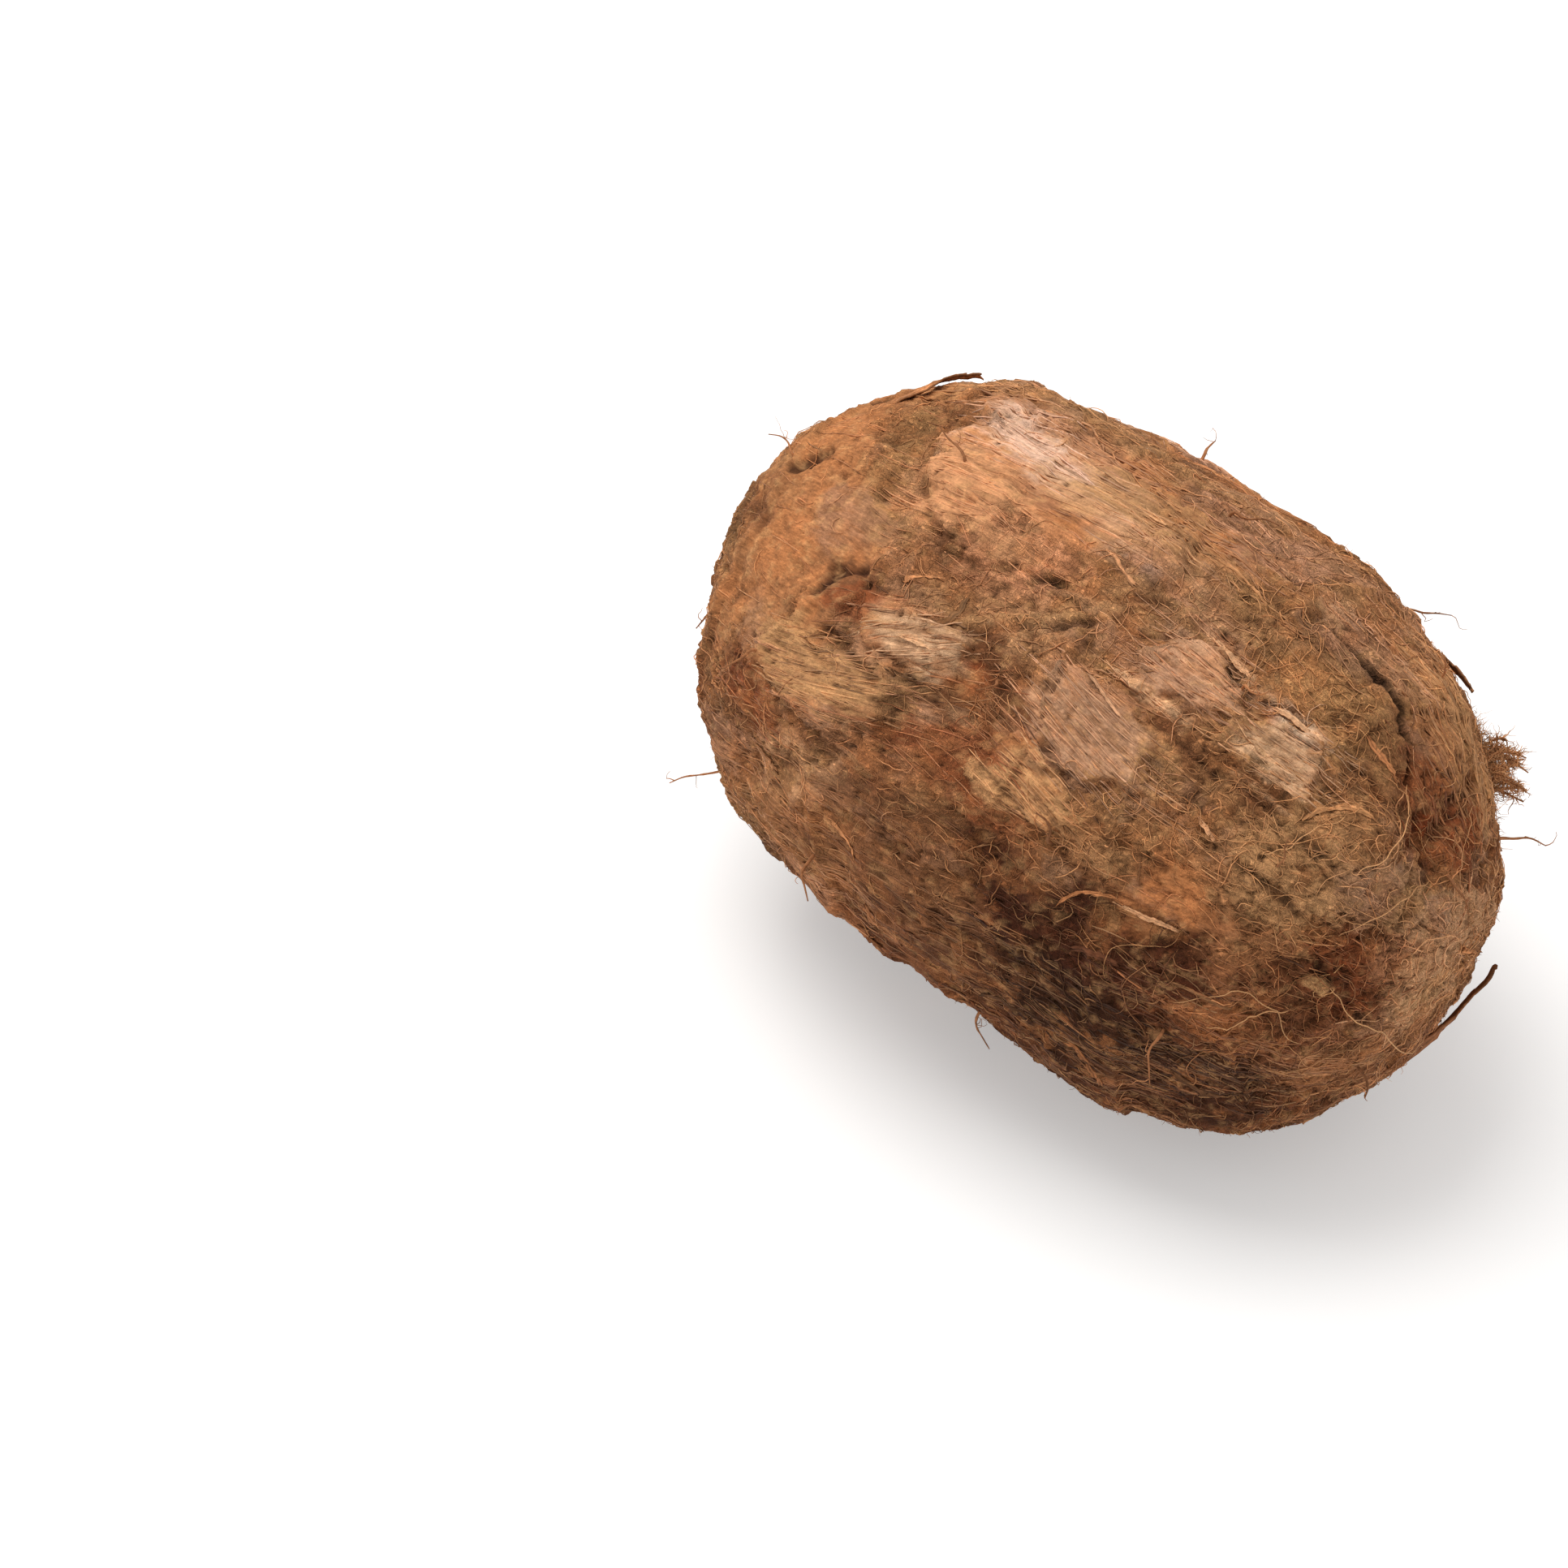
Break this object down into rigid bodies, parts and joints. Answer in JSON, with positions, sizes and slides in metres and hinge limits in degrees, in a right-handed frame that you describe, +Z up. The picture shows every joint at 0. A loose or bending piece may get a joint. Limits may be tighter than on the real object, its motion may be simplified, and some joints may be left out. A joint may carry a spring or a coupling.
{
  "type": "yam",
  "caption": "Whole shaggy-skinned yam tuber lying on its side, with ringed and ribbed husk, a root tuft and peeling strips.",
  "frame": {"origin": "on the flat spot the tuber rests on, below the middle of its long axis", "axes": "+X along the tuber towards its shaggy root end, +Z up as it lies"},
  "size_m": [0.212, 0.1541, 0.1305],
  "materials": {
    "skin": "dull, dry and fibrous husk, matte"
  },
  "bodies": {
    "root": {"yam": "skin"}
  },
  "joints": []
}
